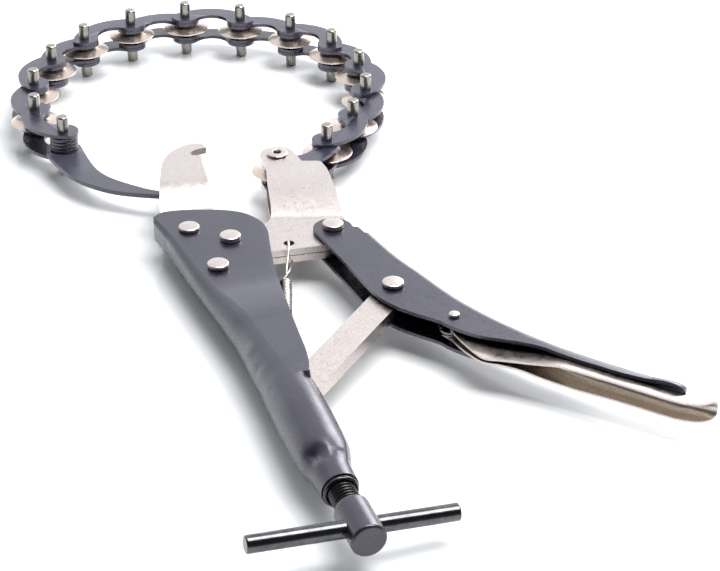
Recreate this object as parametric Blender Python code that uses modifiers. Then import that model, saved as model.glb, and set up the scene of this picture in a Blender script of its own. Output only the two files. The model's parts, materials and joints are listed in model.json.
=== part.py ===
"""Locking-plier chain pipe cutter, built as separate named parts in their own frame.

Model frame: +Z up, the adjusting screw's axis along Y with its handle towards -Y, the jaws and
the chain loop towards +Y. Every size and place below is in millimetres, and the helpers turn
it into metres. Places are measured from the screw's axis (X), the handle's mouth (Y) and the
tool's middle plane (Z). The last function stands the whole tool on its lowest point with the
frame's origin under the middle of its bounding box.
"""

import math

import bmesh
import bpy
from mathutils import Matrix, Vector

MM = 0.001
OBJECT_NAME = "chain_pipe_cutter"

# Chain
CHAIN_PITCH = 26.9
PIN_RADIUS = 2.5
PIN_HALF_LENGTH = 13.0
PIN_CHAMFER = 0.5
PLATE_THICKNESS = 1.5
LINK_GAP = 0.3
LOBE_RADIUS = 6.5
LINK_BULGE = 10.8
LINK_WAIST = 2.2
WHEEL_RADIUS = 11.0
WHEEL_HALF_THICKNESS = 2.6
WHEEL_HUB_RADIUS = 5.3
BUSH_WALL = 1.0
RUNNING_GAP = 0.3
CLAW_THICKNESS = 2.0
WASHER_COUNT = 4
WASHER_EDGE = 0.25
TAIL_GAP = 0.2
# heading of each link, from the jaw's anchor round to the last pin, anticlockwise from +X
LINK_HEADINGS = (
    (21.1, 46.7, 58.7, 77.4, 98.9, 117.7, 136.3)
    + (153.7, 180.1, 202.7, 224.0, 241.1, 259.3, 285.3)
)

# Places of the pivots on the plan
JAW_PIVOT = (10.4, 162.4)
FRONT_RIVET = (-2.6, 175.4)
REAR_RIVET = (0.0, 142.9)
LEVER_PIVOT = (51.0, 158.4)
TOGGLE_PIVOT = (57.8, 108.5)
TOGGLE_SEAT = (0.8, 53.4)
RELEASE_PIVOT = (71.0, 80.2)
CHAIN_ANCHOR = (47.8, 221.6)
SPRING_HOLE = (32.0, 155.5)

# Sheet metal
SHEET = 1.4
FLANGE_HALF_HEIGHT = 5.0
JAW_THICKNESS = 2.8
JAW_GAP = 0.15
JAW_STRIP_REAR = 90.0
JAW_STRIP_FRONT = 60.0
JAW_STRIP_HALF_WIDTH = 70.0
SPRING_HOLE_RADIUS = 2.1
SEAM_GAP = 0.25
# how each jaw's inner face rises past its rear bend: distance, height
FIXED_JAW_BENDS = ((14.0, 6.3),)
MOVABLE_JAW_BENDS = ((9.0, 2.7), (18.0, 4.2), (27.0, 4.7))

# The lever's back on the plan, from its pivot to its tail: x, y, half height, edge radius
LEVER_BACK = (
    (64.0, 166.0, 4.2, 1.9),
    (64.0, 150.0, 4.2, 1.9),
    (66.2, 130.0, 4.2, 2.2),
    (70.9, 112.3, 4.3, 2.3),
    (74.2, 100.5, 4.3, 2.5),
    (79.5, 89.5, 4.4, 2.8),
    (86.0, 74.5, 4.6, 3.1),
    (95.4, 57.0, 5.1, 3.8),
    (105.0, 43.5, 5.3, 4.6),
    (114.8, 31.4, 5.3, 4.8),
    (123.4, 21.3, 5.4, 5.0),
    (127.0, 17.2, 5.9, 5.3),
    (130.2, 13.8, 5.7, 5.2),
)

# The release lever's back, which nests in the lever's: x, y, half height
RELEASE_BACK = (
    (77.8, 88.7, 1.9),
    (84.1, 73.6, 1.9),
    (89.1, 63.8, 1.4),
    (93.3, 55.7, 1.7),
    (98.2, 48.2, 3.1),
    (102.6, 41.6, 3.8),
    (112.3, 29.3, 3.6),
    (120.6, 18.9, 3.5),
    (127.0, 11.2, 3.6),
    (131.0, 7.9, 3.6),
    (134.6, 4.6, 3.6),
    (137.6, 1.6, 3.8),
    (139.2, -0.4, 3.9),
)
RELEASE_SHEET = 1.2
RELEASE_RIVET = 1.5

# Rivets
RIVET_RADIUS = 2.5
RIVET_HEAD_RADIUS = 4.1
RIVET_HEAD_HEIGHT = 1.7
HEAD_GAP = 0.3

# Toggle link
TOGGLE_HALF_WIDTH = 6.0
TOGGLE_HALF_THICKNESS = 2.7

# Adjusting screw
SCREW_RADIUS = 4.7
THREAD_PITCH = 1.5
THREAD_DEPTH = 0.6
HUB_RADIUS = 6.1
HUB_FRONT = -28.6
HUB_BACK = -10.0
TOMMY_RADIUS = 3.0
TOMMY_HALF_LENGTH = 35.5
TOMMY_PLACE = -20.5
TOMMY_SLIDE = -2.5
TOMMY_TILT = 4.0

COLOURS = {
    "black": ((0.045, 0.042, 0.055, 1.0), 0.42, 0.3),
    "nickel": ((0.80, 0.76, 0.70, 1.0), 0.34, 1.0),
    "bronze": ((0.62, 0.52, 0.45, 1.0), 0.36, 1.0),
    "steel": ((0.50, 0.49, 0.46, 1.0), 0.38, 1.0),
    "oxide": ((0.03, 0.03, 0.032, 1.0), 0.25, 0.6),
}


# ---------------------------------------------------------------- helpers
def clear_scene():
    for obj in list(bpy.data.objects):
        bpy.data.objects.remove(obj, do_unlink=True)


def new_collection(name):
    collection = bpy.data.collections.new(name)
    bpy.context.scene.collection.children.link(collection)
    return collection


def add_material(obj, look):
    """Give the object a material of its own, in one of the tool's five finishes."""
    colour, roughness, metallic = COLOURS[look]
    material = bpy.data.materials.new(obj.name)
    material.use_nodes = True
    shader = material.node_tree.nodes["Principled BSDF"]
    shader.inputs["Base Color"].default_value = colour
    shader.inputs["Roughness"].default_value = roughness
    shader.inputs["Metallic"].default_value = metallic
    obj.data.materials.clear()
    obj.data.materials.append(material)


def object_from(name, mesh):
    obj = bpy.data.objects.new(name, mesh)
    PARTS.objects.link(obj)
    return obj


def bake(obj):
    """Replace an object by the mesh of its evaluated form, welded and facing out."""
    bpy.context.view_layer.update()
    evaluated = obj.evaluated_get(bpy.context.evaluated_depsgraph_get())
    mesh = bpy.data.meshes.new_from_object(evaluated)
    mesh.transform(obj.matrix_world)
    edit = bmesh.new()
    edit.from_mesh(mesh)
    bmesh.ops.remove_doubles(edit, verts=edit.verts, dist=0.002 * MM)
    bmesh.ops.recalc_face_normals(edit, faces=edit.faces)
    edit.to_mesh(mesh)
    edit.free()
    name = obj.name
    bpy.data.objects.remove(obj, do_unlink=True)
    return object_from(name, mesh)


def prism(name, outlines, low, high):
    """A flat plate between two heights; outlines after the first are its holes."""
    curve = bpy.data.curves.new(name, "CURVE")
    curve.dimensions = "2D"
    curve.fill_mode = "BOTH"
    curve.extrude = (high - low) / 2 * MM
    for outline in outlines:
        spline = curve.splines.new("POLY")
        spline.points.add(len(outline) - 1)
        spline.use_cyclic_u = True
        for point, (x, y) in zip(spline.points, outline):
            point.co = (x * MM, y * MM, 0.0, 1.0)
    obj = object_from(name, curve)
    obj.location.z = (high + low) / 2 * MM
    return bake(obj)


def turned(name, profile, sides=14):
    """A body turned about Z from a (radius, height) profile, top to bottom on its outer side."""
    mesh = bpy.data.meshes.new(name)
    mesh.from_pydata(
        [(r * MM, 0.0, z * MM) for r, z in profile],
        [(i, i + 1) for i in range(len(profile) - 1)],
        [],
    )
    obj = object_from(name, mesh)
    screw = obj.modifiers.new("turn", "SCREW")
    screw.steps = sides
    screw.render_steps = sides
    screw.use_merge_vertices = True
    screw.merge_threshold = 0.005 * MM
    return bake(obj)


def tube_along(name, points, radius, radii=None, sides=2):
    """A round wire through the points; radii scale its thickness point by point."""
    curve = bpy.data.curves.new(name, "CURVE")
    curve.dimensions = "3D"
    curve.bevel_depth = radius * MM
    curve.bevel_resolution = sides
    curve.use_fill_caps = True
    spline = curve.splines.new("POLY")
    spline.points.add(len(points) - 1)
    for i, (point, place) in enumerate(zip(spline.points, points)):
        point.co = (*(c * MM for c in place), 1.0)
        point.radius = radii[i] if radii else 1.0
    return bake(object_from(name, curve))


def moved(obj, matrix):
    """Move an object's mesh by a matrix whose translation is in millimetres."""
    matrix = matrix.copy()
    matrix.translation *= MM
    obj.data.transform(matrix)
    return obj


def placed(x, y, z=0.0, turn=0.0):
    return Matrix.Translation((x, y, z)) @ Matrix.Rotation(math.radians(turn), 4, "Z")


def joined(name, objects):
    """One object holding the meshes of several, which don't touch each other."""
    edit = bmesh.new()
    for obj in objects:
        edit.from_mesh(obj.data)
    mesh = bpy.data.meshes.new(name)
    edit.to_mesh(mesh)
    edit.free()
    for obj in objects:
        bpy.data.objects.remove(obj, do_unlink=True)
    return object_from(name, mesh)


def combine(obj, tool, operation):
    """Union, cut or intersect an object with a tool, and drop the tool."""
    boolean = obj.modifiers.new(operation, "BOOLEAN")
    boolean.operation = operation
    boolean.object = tool
    boolean.solver = "EXACT"
    tool.hide_render = True
    tool.display_type = "WIRE"
    result = bake(obj)
    bpy.data.objects.remove(tool, do_unlink=True)
    return result


def pin_tool(name, x, y, radius, low, high, sides=12):
    """A plain round bar about a vertical axis, for cutting a hole."""
    bar = turned(name, [(0, high), (radius, high), (radius, low), (0, low)], sides)
    return moved(bar, placed(x, y))


def drilled(obj, holes, reach=30.0):
    """Cut round holes, each (x, y, radius), right through an object."""
    bars = [pin_tool(f"drill_{i}", x, y, r, -reach, reach) for i, (x, y, r) in enumerate(holes)]
    return combine(obj, joined("drills", bars), "DIFFERENCE")


def arc(x, y, radius, start, end, count):
    """Points round a centre from one angle to another, in degrees, both ends kept."""
    angles = [math.radians(start + (end - start) * i / count) for i in range(count + 1)]
    return [(x + radius * math.cos(a), y + radius * math.sin(a)) for a in angles]


def smooth(points, count):
    """A Catmull-Rom curve through tuples of any length, with count steps to each span."""
    result = []
    for i in range(len(points) - 1):
        before = points[max(i - 1, 0)]
        start, end = points[i], points[i + 1]
        after = points[min(i + 2, len(points) - 1)]
        for step in range(count):
            t = step / count
            result.append(
                tuple(
                    b + 0.5 * t * (c - a + t * (2 * a - 5 * b + 4 * c - d + t * (3 * (b - c) + d - a)))
                    for a, b, c, d in zip(before, start, end, after)
                )
            )
    return result + [tuple(points[-1])]


def finished(obj, look, origin=(0.0, 0.0), parent=None):
    """Put the object's origin on its axis, shade it, colour it and hang it on the frame."""
    place = Vector((origin[0] * MM, origin[1] * MM, 0.0))
    obj.data.transform(Matrix.Translation(-place))
    obj.location = place
    obj.parent = parent or FRAME
    obj.data.shade_smooth()
    obj.data.set_sharp_from_angle(angle=math.radians(35))
    add_material(obj, look)
    return obj


# ---------------------------------------------------------------- sheet-metal channels
def section(left, right, half, left_radius, right_radius, gap):
    """A C-shaped path (across, up) round a box that is open on its right by twice the gap."""
    upper = [(right, gap)]
    upper += arc(right - right_radius, half - right_radius, right_radius, 0, 90, 3)
    upper += arc(left + left_radius, half - left_radius, left_radius, 90, 180, 4)
    return upper + [(u, -v) for u, v in reversed(upper)]


def channel(name, stations, thickness):
    """Loft C sections along stations of (origin, across direction, section) and thicken them."""
    verts, faces = [], []
    for (x, y), (ax, ay), path in stations:
        verts += [((x + u * ax) * MM, (y + u * ay) * MM, v * MM) for u, v in path]
    width = len(stations[0][2])
    for row in range(len(stations) - 1):
        for column in range(width - 1):
            a = row * width + column
            faces.append((a, a + 1, a + 1 + width, a + width))
    mesh = bpy.data.meshes.new(name)
    mesh.from_pydata(verts, [], faces)
    obj = object_from(name, mesh)
    solid = obj.modifiers.new("sheet", "SOLIDIFY")
    solid.thickness = thickness * MM
    solid.offset = 0.0
    solid.use_even_offset = True
    return bake(obj)


def along(path, stations_of):
    """Stations square to a plan path; stations_of gives the section for each point's values."""
    stations = []
    for i, point in enumerate(path):
        before, after = path[max(i - 1, 0)], path[min(i + 1, len(path) - 1)]
        direction = Vector((after[0] - before[0], after[1] - before[1])).normalized()
        across = (direction.y, -direction.x)
        stations.append(((point[0], point[1]), across, stations_of(*point[2:])))
    return stations


# ---------------------------------------------------------------- chain
def chain_places():
    """The axis of each chain pin in turn, starting with the anchor in the movable jaw."""
    places = [CHAIN_ANCHOR]
    for heading in LINK_HEADINGS:
        x, y = places[-1]
        angle = math.radians(heading)
        places.append((x + CHAIN_PITCH * math.cos(angle), y + CHAIN_PITCH * math.sin(angle)))
    return places


def link_outline():
    """A crescent plate from the first pin at the origin to the second along +X, bulging to -Y."""
    half = CHAIN_PITCH / 2
    span = half + LOBE_RADIUS
    outer = (span**2 + LINK_BULGE**2) / (2 * LINK_BULGE)
    sweep = math.degrees(math.asin(span / outer))
    drop = outer - LINK_BULGE
    back = ((LINK_WAIST + LOBE_RADIUS) ** 2 - half**2) / (-2 * (LINK_WAIST + LOBE_RADIUS))
    inner = back + LINK_WAIST
    tangent = math.degrees(math.atan2(back, half))
    points = arc(half, drop, outer, 270 - sweep, 270 + sweep, 7)
    points += arc(CHAIN_PITCH, 0, LOBE_RADIUS, 0, 180 - tangent, 4)[1:]
    points += arc(half, back, inner, 360 - tangent, 180 + tangent, 4)[1:-1]
    points += arc(0, 0, LOBE_RADIUS, tangent, 180, 4)[:-1]
    return points


def pin_profile():
    r, half, c = PIN_RADIUS, PIN_HALF_LENGTH, PIN_CHAMFER
    return [(0, half), (r - c, half), (r, half - c), (r, c - half), (r - c, -half), (0, -half)]


def link_plates(height, hole):
    """The upper and lower plates of one link, with their faces starting at the given height."""
    plates = []
    for sign in (1, -1):
        low, high = sorted((sign * height, sign * (height + PLATE_THICKNESS)))
        holes = [arc(x, 0, hole, 0, 360, 10)[:-1] for x in (0, CHAIN_PITCH)] if hole else []
        plates.append(prism(f"plate_{sign}", [link_outline()] + holes, low, high))
    return joined("plates", plates)


def inner_height():
    return WHEEL_HALF_THICKNESS + LINK_GAP


def outer_height():
    return inner_height() + PLATE_THICKNESS + LINK_GAP / 2


def bush_bore():
    return PIN_RADIUS + RUNNING_GAP


def pin_link_mesh():
    """Two outer plates fixed to two pins."""
    pins = [moved(turned(f"pin_{i}", pin_profile(), 10), placed(i * CHAIN_PITCH, 0)) for i in (0, 1)]
    return combine(link_plates(outer_height(), None), joined("pins", pins), "UNION").data


def bush_link_mesh():
    """Two inner plates fixed to two bushes, which turn on the pins."""
    bore = bush_bore()
    wall = bore + BUSH_WALL
    end = inner_height() + PLATE_THICKNESS - 0.1
    bushes = []
    for i in (0, 1):
        profile = [(bore, end), (wall, end), (wall, -end), (bore, -end), (bore, end)]
        bushes.append(moved(turned(f"bush_{i}", profile, 10), placed(i * CHAIN_PITCH, 0)))
    plates = link_plates(inner_height(), bore + BUSH_WALL / 2)
    return combine(plates, joined("bushes", bushes), "UNION").data


def wheel_mesh():
    """A cutting wheel: a short hub with a thin disc that runs out to a sharp edge."""
    bore = bush_bore() + BUSH_WALL + RUNNING_GAP
    half = WHEEL_HALF_THICKNESS
    hub = WHEEL_HUB_RADIUS
    profile = [
        (bore, half),
        (hub, half),
        (hub + 0.5, half * 0.5),
        (WHEEL_RADIUS, 0.0),
        (hub + 0.5, -half * 0.5),
        (hub, -half),
        (bore, -half),
        (bore, half),
    ]
    return turned("wheel", profile, 14).data


def chain():
    places = chain_places()
    meshes = (bush_link_mesh(), pin_link_mesh())
    wheel = wheel_mesh()
    for obj in [o for o in PARTS.objects if o.data in (*meshes, wheel)]:
        bpy.data.objects.remove(obj, do_unlink=True)
    for i, heading in enumerate(LINK_HEADINGS):
        kind = ("bush_link", "pin_link")[i % 2]
        obj = object_from(f"{kind}_{i + 1:02d}", meshes[i % 2].copy())
        place_chain_piece(obj, places[i], heading, "black")
        obj = object_from(f"cutting_wheel_{i + 1:02d}", wheel.copy())
        place_chain_piece(obj, places[i], heading, "bronze")
    chain_tail(places[-1])


def place_chain_piece(obj, place, heading, look):
    finished(obj, look)
    obj.location = (place[0] * MM, place[1] * MM, 0.0)
    obj.rotation_euler.z = math.radians(heading)


def chain_tail(place):
    """The curved feeding claw on the last pin, and the washers that hold it at the lower plate."""
    x, y = place
    claw_low = TAIL_GAP - outer_height()
    claw_top = claw_low + CLAW_THICKNESS
    bore = bush_bore()
    inner = smooth([(x + 6.9, y + 1.5), (-21.6, 249.3), (-9.1, 230.5), (3.0, 220.2)], 4)
    outer = smooth([(4.5, 218.4), (-3.8, 221.5), (-21.5, 232.3), (-34.0, 250.5), (x - 8.3, y - 2.0)], 3)
    crown = smooth([(x - 8.3, y - 2.0), (x - 5.6, y + 6.0), (x + 1.6, y + 8.0), (x + 6.9, y + 1.5)], 3)
    outline = inner + outer + crown[1:-1]
    hole = arc(x, y, bore, 0, 360, 12)[:-1]
    claw = prism("feed_claw", [outline, hole], claw_low, claw_top)
    finished(claw, "black", place)
    step = (outer_height() - claw_top - 2 * TAIL_GAP) / WASHER_COUNT
    radius = LOBE_RADIUS - 0.5
    inset = radius - WASHER_EDGE
    for i in range(WASHER_COUNT):
        high = outer_height() - TAIL_GAP - i * step
        low = high - step + TAIL_GAP
        side = [(inset, high), (radius, high - WASHER_EDGE), (radius, low + WASHER_EDGE), (inset, low)]
        profile = [(bore, high)] + side + [(bore, low), (bore, high)]
        washer = moved(turned(f"tail_washer_{i + 1}", profile, 14), placed(x, y))
        finished(washer, "black", place)


# ---------------------------------------------------------------- jaws
def jaw_strip(name, start, bearing, bends, side):
    """A sheet bent upwards from the middle plane, then flat again further out.

    start is a point on the rear bend line and bearing the direction of the jaw's length on the
    plan; bends are (distance, height) pairs of its inner face, from the rear bend outwards.
    """
    path = [(-JAW_STRIP_REAR, JAW_GAP), (0.0, JAW_GAP), *bends, (JAW_STRIP_FRONT, bends[-1][1])]
    path += [(s, z + JAW_THICKNESS) for s, z in reversed(path)]
    strip = prism(name, [[(s, z * side) for s, z in path]], -JAW_STRIP_HALF_WIDTH, JAW_STRIP_HALF_WIDTH)
    upright = Matrix.Rotation(math.radians(90), 4, "X")
    return moved(strip, placed(*start, turn=bearing) @ upright)


def fixed_jaw_outline():
    """The hooked jaw on the plan: its nose hooks over the free end of a chain pin."""
    left = smooth([(-5.0, 137.2), (-7.6, 150), (-9.2, 168), (-10.4, 184.5), (-8.9, 197.3), (-4.4, 213.5)], 2)
    crown = smooth([(-4.4, 213.5), (0.8, 228.5), (7.8, 236.8), (16.0, 240.0), (20.6, 238.0)], 3)
    slot = [(20.8, 234.6), (16.2, 233.9), (13.6, 232.6), (12.9, 230.6), (14.2, 228.9), (17.3, 228.4)]
    right = [(16.1, 224.2), (14.3, 210.1), (12.2, 195.1), (9.8, 182.3), (5.2, 175.5)]
    hollow = arc(*JAW_PIVOT, 9.4, 122, 245, 5)
    heel = arc(*REAR_RIVET, 6.6, 15, -120, 5)
    return left[:-1] + crown + slot + right + hollow + heel


def fixed_jaw():
    holes = [(*FRONT_RIVET, RIVET_RADIUS + HEAD_GAP), (*REAR_RIVET, RIVET_RADIUS + HEAD_GAP)]
    for side, name in ((1, "fixed_jaw_upper"), (-1, "fixed_jaw_lower")):
        strip = jaw_strip(name, (0.0, 193.4), 82.0, FIXED_JAW_BENDS, side)
        strip = combine(strip, prism("plan", [fixed_jaw_outline()], -20, 20), "INTERSECT")
        finished(drilled(strip, holes), "nickel")


def movable_jaw_outline():
    """The swinging jaw on the plan: hub, long plate with a shoulder, anchor lobe, lever lobe."""
    hub = arc(*JAW_PIVOT, 8.0, 270, 100, 7)
    left = [(16.0, 171.5), (24.5, 172.2), (30.2, 176.0), (33.5, 184.0), (37.0, 199.7), (40.6, 214.0)]
    anchor = arc(*CHAIN_ANCHOR, 7.2, 180, 15, 6)
    right = [(55.7, 212.6), (63.0, 210.2), (63.4, 203.0), (61.4, 186.1), (59.0, 168.0)]
    lobe = arc(*LEVER_PIVOT, 7.6, 20, -70, 4)
    rear = [(46.2, 149.3), (24.6, 151.3)]
    return hub + left + anchor + right + lobe + rear


def movable_jaw():
    clear = RIVET_RADIUS + HEAD_GAP
    holes = [(*JAW_PIVOT, clear), (*LEVER_PIVOT, clear), (*CHAIN_ANCHOR, clear), (*SPRING_HOLE, SPRING_HOLE_RADIUS)]
    for side, name in ((1, "movable_jaw_upper"), (-1, "movable_jaw_lower")):
        strip = jaw_strip(name, (36.0, 176.5), 73.0, MOVABLE_JAW_BENDS, side)
        strip = combine(strip, prism("plan", [movable_jaw_outline()], -20, 20), "INTERSECT")
        finished(drilled(strip, holes), "nickel", JAW_PIVOT)


# ---------------------------------------------------------------- handle, lever and release
def handle_outline():
    """The fixed handle's plan: it trims the open channel's flanges and rounds its front."""
    nose = [(-14.0, 184.0), (-13.8, 188.6), (-11.4, 192.0), (-5.8, 192.6), (0.0, 191.4), (13.3, 187.2)]
    cheek = [(13.3, 187.2), (20.2, 182.6), (23.7, 177.8), (25.8, 173.0), (26.3, 167.3), (25.8, 162.3)]
    front, corner = smooth(nose, 2), smooth(cheek, 2)
    edge = [(23.6, 153.0), (19.0, 129.1), (16.3, 109.0), (14.3, 94.5), (12.8, 81.7), (11.7, 71.4)]
    edge.append((10.2, 60.0))
    rear = [(12.0, 57.0), (20.0, 55.5), (20.0, -5.0), (-20.0, -5.0), (-20.0, 150.0)]
    return front + corner[1:] + edge + rear


def handle_stations():
    """Rows of y, left, right and half height up the handle, as stations for the channel."""
    rows = [
        (0.0, -6.4, 6.4, 6.4),
        (5.0, -6.7, 6.7, 6.7),
        (10.5, -7.3, 7.8, 7.3),
        (15.0, -8.0, 9.3, 8.4),
        (20.0, -8.4, 10.1, 9.3),
        (30.0, -8.5, 10.4, 9.8),
        (40.0, -8.4, 10.7, 10.0),
        (54.0, -7.8, 10.8, 9.7),
    ]
    open_rows = [
        (64.0, -7.3, 20.0, 9.3),
        (80.0, -7.3, 26.0, 8.6),
        (96.0, -7.0, 28.0, 7.7),
        (112.0, -8.1, 30.0, 6.7),
        (131.0, -9.8, 34.0, 5.7),
        (151.0, -11.0, 36.0, FLANGE_HALF_HEIGHT),
        (172.0, -12.0, 38.0, FLANGE_HALF_HEIGHT),
        (196.0, -14.4, 38.0, FLANGE_HALF_HEIGHT),
    ]
    inset = SHEET / 2
    stations = []
    for y, left, right, half in rows + open_rows:
        closed = y <= rows[-1][0] + 0.01
        mid_half = half - inset
        fade = min(max((y - 54.0) / 90.0, 0.0), 1.0)
        left_radius = mid_half * (0.98 - 0.45 * fade)
        right_radius = mid_half * 0.9 if closed else 1.5
        gap = SEAM_GAP if closed else mid_half - 1.6
        path = section(left + inset, right - inset, mid_half, left_radius, right_radius, gap)
        stations.append(((0.0, y), (1.0, 0.0), path))
    return stations


def fixed_handle():
    """A sheet channel, open to the right in front and rolled into a seamed tube behind."""
    body = channel("fixed_handle", handle_stations(), SHEET)
    body = combine(body, prism("plan", [handle_outline()], -20, 20), "INTERSECT")
    clear = RIVET_RADIUS + HEAD_GAP
    body = drilled(body, [(*p, clear) for p in (FRONT_RIVET, JAW_PIVOT, REAR_RIVET)])
    slot = moved(prism("slot", [[(0, -9), (14, -9), (14, 9), (0, 9)]], -3.6, 3.6), placed(7.0, 56.0))
    finished(combine(body, slot, "DIFFERENCE"), "black")


def lever_outline():
    """The lever's plan: an eye round its pivot, a shoulder where the back starts, a long tail."""
    eye = arc(*LEVER_PIVOT, 7.8, 200, 0, 7)
    shoulder = [(60.2, 152.6), (62.2, 151.2), (80.0, 150.0), (150.0, 60.0), (150.0, 24.0)]
    tail = [(132.0, 13.6), (126.5, 9.4), (121.1, 15.2), (110.8, 25.3), (106.0, 31.0), (101.0, 36.9)]
    edge = [(96.3, 43.4), (91.7, 50.2), (86.2, 55.3), (80.4, 59.8), (74.6, 64.3), (71.0, 68.6)]
    edge += [(67.1, 74.5), (64.6, 79.5), (58.4, 87.0), (52.9, 95.3), (49.2, 106.1), (46.7, 129.2)]
    return eye + shoulder + tail + edge


def lever_handle():
    """A sheet channel whose back curves away outwards and which opens towards the handle."""
    stations = along(LEVER_BACK, lambda half, radius: section(0.0, 34.0, half, radius, 1.0, half - 1.2))
    body = channel("lever_handle", stations, SHEET)
    body = combine(body, prism("plan", [lever_outline()], -20, 20), "INTERSECT")
    clear = RIVET_RADIUS + HEAD_GAP
    holes = [(*LEVER_PIVOT, clear), (*TOGGLE_PIVOT, clear), (*RELEASE_PIVOT, RELEASE_RIVET + HEAD_GAP)]
    finished(drilled(body, holes), "black", LEVER_PIVOT)


def release_outline():
    """The release lever's plan: an ear round its rivet, a knee, a long edge and a round end."""
    ear = arc(*RELEASE_PIVOT, 4.0, 200, 20, 6)
    back = [(86.0, 74.0), (120.0, 50.0), (150.0, 20.0), (150.0, 6.0), (139.0, 2.4)]
    end = [(136.5, 1.2), (133.3, 0.6), (129.6, 0.8), (126.5, 2.4)]
    edge = [(123.5, 4.6), (118.6, 9.9), (109.1, 21.4), (99.1, 32.5), (94.1, 38.3), (88.7, 43.3), (83.4, 48.4)]
    edge += [(77.7, 52.9), (72.9, 56.0), (70.6, 62.0), (69.0, 69.4)]
    return ear + back + end + edge


def release_lever():
    """A small channel nested in the lever's, with the same opening; its round end sticks out."""
    path = [(x, y, half, half - 0.6) for x, y, half in RELEASE_BACK]
    stations = along(path, lambda half, radius: section(0.0, 24.0, half, radius, 0.6, half - 0.7))
    body = channel("release_lever", stations, RELEASE_SHEET)
    body = combine(body, prism("plan", [release_outline()], -20, 20), "INTERSECT")
    finished(drilled(body, [(*RELEASE_PIVOT, RELEASE_RIVET + HEAD_GAP)]), "nickel", RELEASE_PIVOT)


def toggle_link():
    """The strut between the lever and the end of the adjusting screw."""
    (x, y), (a, b) = TOGGLE_PIVOT, TOGGLE_SEAT
    turn = math.degrees(math.atan2(b - y, a - x))
    outline = arc(x, y, TOGGLE_HALF_WIDTH, turn + 270, turn + 90, 6)
    outline += arc(a, b, TOGGLE_HALF_WIDTH, turn + 90, turn - 90, 6)
    hole = arc(x, y, RIVET_RADIUS + HEAD_GAP, 0, 360, 12)[:-1]
    bar = prism("toggle_link", [outline, hole], -TOGGLE_HALF_THICKNESS, TOGGLE_HALF_THICKNESS)
    finished(bar, "nickel", TOGGLE_PIVOT)


# ---------------------------------------------------------------- rivets
def rivet(name, place, face, radius, head_radius, head_height, look="nickel"):
    """A rivet with a low domed head on each side, its heads just off the outer faces."""
    base = face + HEAD_GAP
    top = base + head_height
    half = [
        (0, top),
        (head_radius * 0.72, top - 0.15),
        (head_radius, top - head_height * 0.35),
        (head_radius, base),
        (radius, base),
    ]
    profile = half + [(r, -z) for r, z in reversed(half)]
    finished(moved(turned(name, profile, 12), placed(*place)), look, place)


def anchor_rivet():
    """The hollow rivet that holds the chain in the movable jaw."""
    face = MOVABLE_JAW_BENDS[-1][1] + JAW_THICKNESS + HEAD_GAP
    half = [(1.5, face + 0.6), (2.2, face + 1.1), (4.2, face + 0.9), (4.4, face), (RIVET_RADIUS, face)]
    profile = half + [(r, -z) for r, z in reversed(half)] + [half[0]]
    body = moved(turned("chain_anchor_rivet", profile, 14), placed(*CHAIN_ANCHOR))
    finished(body, "nickel", CHAIN_ANCHOR)


def rivets():
    high, head = RIVET_HEAD_HEIGHT, RIVET_HEAD_RADIUS
    rivet("front_rivet", FRONT_RIVET, FLANGE_HALF_HEIGHT, RIVET_RADIUS, head, high)
    rivet("rear_rivet", REAR_RIVET, FLANGE_HALF_HEIGHT + 0.5, RIVET_RADIUS, head, high)
    rivet("jaw_pivot_rivet", JAW_PIVOT, FLANGE_HALF_HEIGHT, RIVET_RADIUS, head, high + 0.6)
    rivet("lever_pivot_rivet", LEVER_PIVOT, FLANGE_HALF_HEIGHT, RIVET_RADIUS, head, high + 0.6)
    rivet("toggle_rivet", TOGGLE_PIVOT, FLANGE_HALF_HEIGHT + 0.2, RIVET_RADIUS, head, high)
    rivet("release_rivet", RELEASE_PIVOT, FLANGE_HALF_HEIGHT + 0.4, RELEASE_RIVET, 2.1, 0.9)
    anchor_rivet()


# ---------------------------------------------------------------- adjusting screw
def along_screw(obj):
    """Lay a body turned about Z along the screw's axis, its top towards the jaws."""
    return moved(obj, Matrix.Rotation(math.radians(-90), 4, "X"))


def screw_profile():
    """Rounded ridges stand for the thread; the hub has a chamfer at each end."""
    root = SCREW_RADIUS - THREAD_DEPTH
    profile = [(0, 40.0), (root, 40.0)]
    profile += [(SCREW_RADIUS, 39.0), (SCREW_RADIUS, 1.0)]
    y = 1.0
    while y > HUB_BACK + THREAD_PITCH:
        profile += [(root, y - THREAD_PITCH / 2), (SCREW_RADIUS, y - THREAD_PITCH)]
        y -= THREAD_PITCH
    profile += [(root, HUB_BACK), (HUB_RADIUS - 1.0, HUB_BACK), (HUB_RADIUS, HUB_BACK - 1.6)]
    profile += [(HUB_RADIUS, HUB_FRONT + 0.8), (HUB_RADIUS - 0.8, HUB_FRONT), (0, HUB_FRONT)]
    return profile


def adjusting_screw():
    body = along_screw(turned("adjusting_screw", screw_profile(), 14))
    bore, reach = TOMMY_RADIUS + RUNNING_GAP, 2 * HUB_RADIUS
    hole = [(0, reach), (bore, reach), (bore, -reach), (0, -reach)]
    cross = moved(turned("cross_hole", hole, 14), tommy_matrix())
    finished(combine(body, cross, "DIFFERENCE"), "black", (0.0, TOMMY_PLACE))


def tommy_matrix():
    turn = Matrix.Rotation(math.radians(90 + TOMMY_TILT), 4, "Y")
    return Matrix.Translation((0.0, TOMMY_PLACE, 0.0)) @ turn @ Matrix.Translation((0.0, 0.0, TOMMY_SLIDE))


def tommy_bar():
    r, half = TOMMY_RADIUS, TOMMY_HALF_LENGTH
    profile = [(0, half), (r - 0.5, half), (r, half - 0.5), (r, 0.5 - half), (r - 0.5, -half), (0, -half)]
    bar = moved(turned("tommy_bar", profile, 14), tommy_matrix())
    finished(bar, "oxide", (0.0, TOMMY_PLACE))


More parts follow.
